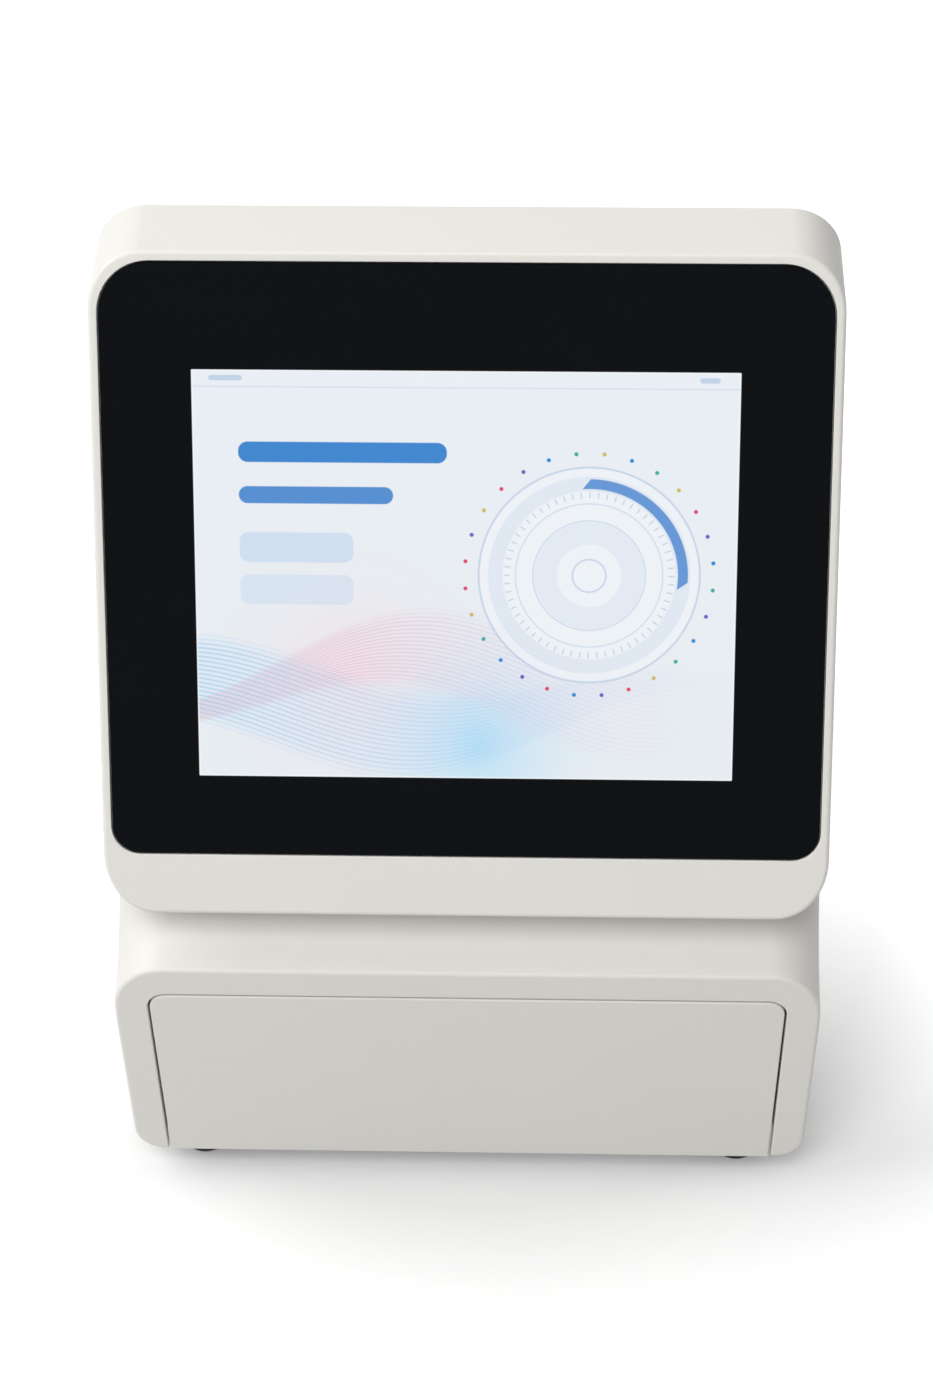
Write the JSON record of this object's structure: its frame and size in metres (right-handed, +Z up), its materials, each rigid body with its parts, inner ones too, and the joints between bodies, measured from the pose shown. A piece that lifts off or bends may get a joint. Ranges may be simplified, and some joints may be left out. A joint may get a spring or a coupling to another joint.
{
  "type": "dry chemistry analyzer",
  "caption": "Bench analyzer with a tilted touch screen over a concave neck, a motor drawer for reagent discs in its base, and a rear power inlet, switch and fan.",
  "frame": {"origin": "middle of the footprint, on the table under the rubber feet", "axes": "+Z up, -Y towards the user (drawer and screen), +X to the user's right"},
  "size_m": [0.2226, 0.25, 0.3023],
  "materials": {
    "housing_plastic": "satin",
    "drawer_plastic": "satin",
    "cover_glass": "gloss",
    "foam": "matte",
    "display": "gloss",
    "zinc_sheet": "satin",
    "circuit_board": "satin",
    "board_parts": "matte",
    "fastener": "satin",
    "standoff": "satin",
    "foot_rubber": "matte",
    "tray_plastic": "satin",
    "heater_plate": "satin",
    "motor_case": "satin",
    "hub_plastic": "satin",
    "shaft_steel": "polished",
    "rail_steel": "satin",
    "ball_steel": "polished",
    "gear_plastic": "satin",
    "optics_metal": "matte",
    "lens_glass": "polished",
    "black_plastic": "satin",
    "socket_shell": "satin"
  },
  "bodies": {
    "base": {"front_housing": "housing_plastic", "rear_cover": "housing_plastic", "cover_glass": "cover_glass", "glass_gasket": "foam", "lcd_panel": "display", "lcd_bracket": "zinc_sheet", "bracket_screws": "fastener", "main_board": "circuit_board", "main_board_parts": "board_parts", "board_standoffs": "standoff", "board_screws": "fastener", "speaker": "board_parts", "base_chassis": "zinc_sheet", "feet": "foot_rubber", "housing_screws": "fastener", "rear_screws": "fastener", "frame_screws": "fastener", "drive_bracket": "zinc_sheet", "drive_motor": "motor_case", "home_sensor": "black_plastic", "bridge_plate": "zinc_sheet", "upper_heater": "heater_plate", "optical_block": "optics_metal", "condenser_lens": "lens_glass", "flash_lamp": "motor_case", "detector_holder": "optics_metal", "detector_board": "circuit_board", "code_reader": "black_plastic", "power_board": "circuit_board", "power_parts": "board_parts", "port_board": "circuit_board", "usb_sockets": "socket_shell", "network_socket": "socket_shell", "power_inlet": "black_plastic", "inlet_pins": "fastener", "switch_frame": "black_plastic", "fan_frame": "black_plastic", "left_outer_rail": "rail_steel", "left_rail_bracket": "zinc_sheet", "right_outer_rail": "rail_steel", "right_rail_bracket": "zinc_sheet"},
    "drawer": {"drawer_front": "drawer_plastic", "drawer_tray": "tray_plastic", "drawer_screws": "fastener", "heater_ring": "heater_plate", "spindle_motor": "motor_case", "drawer_rack": "gear_plastic", "left_inner_rail": "rail_steel", "right_inner_rail": "rail_steel"},
    "turntable": {"turntable_hub": "hub_plastic", "spindle_shaft": "shaft_steel"},
    "left_cage": {"left_ball_cage": "standoff", "left_balls": "ball_steel"},
    "right_cage": {"right_ball_cage": "standoff", "right_balls": "ball_steel"},
    "pinion": {"drive_pinion": "gear_plastic", "drive_shaft": "shaft_steel"},
    "rocker": {"switch_rocker": "black_plastic"},
    "rotor": {"fan_rotor": "black_plastic"}
  },
  "joints": [
    {"name": "drawer_slide", "type": "slide", "parent": "base", "child": "drawer", "axis": [0, -1, 0], "range_m": [0, 0.11]},
    {"name": "spindle_turn", "type": "hinge", "parent": "drawer", "child": "turntable", "pos_m": [0, -0.063, 0.048], "axis": [0, 0, 1], "continuous": true},
    {"name": "left_cage_slide", "type": "slide", "parent": "base", "child": "left_cage", "axis": [0, -1, 0], "range_m": [0, 0.055]},
    {"name": "right_cage_slide", "type": "slide", "parent": "base", "child": "right_cage", "axis": [0, -1, 0], "range_m": [0, 0.055]},
    {"name": "pinion_turn", "type": "hinge", "parent": "base", "child": "pinion", "pos_m": [0.037, -0.095, 0.026], "axis": [1, 0, 0], "range_deg": [0, 788]},
    {"name": "rocker_press", "type": "hinge", "parent": "base", "child": "rocker", "pos_m": [-0.034, 0.121, 0.043], "axis": [1, 0, 0], "range_deg": [0, 10]},
    {"name": "fan_turn", "type": "hinge", "parent": "base", "child": "rotor", "pos_m": [0, 0.115, 0.112], "axis": [0, 1, 0], "continuous": true}
  ],
  "couplings": [
    {"joint": "left_cage_slide", "follows": "drawer_slide", "ratio": 0.5},
    {"joint": "right_cage_slide", "follows": "drawer_slide", "ratio": 0.5},
    {"joint": "pinion_turn", "follows": "drawer_slide", "rad_per_m": 125}
  ]
}
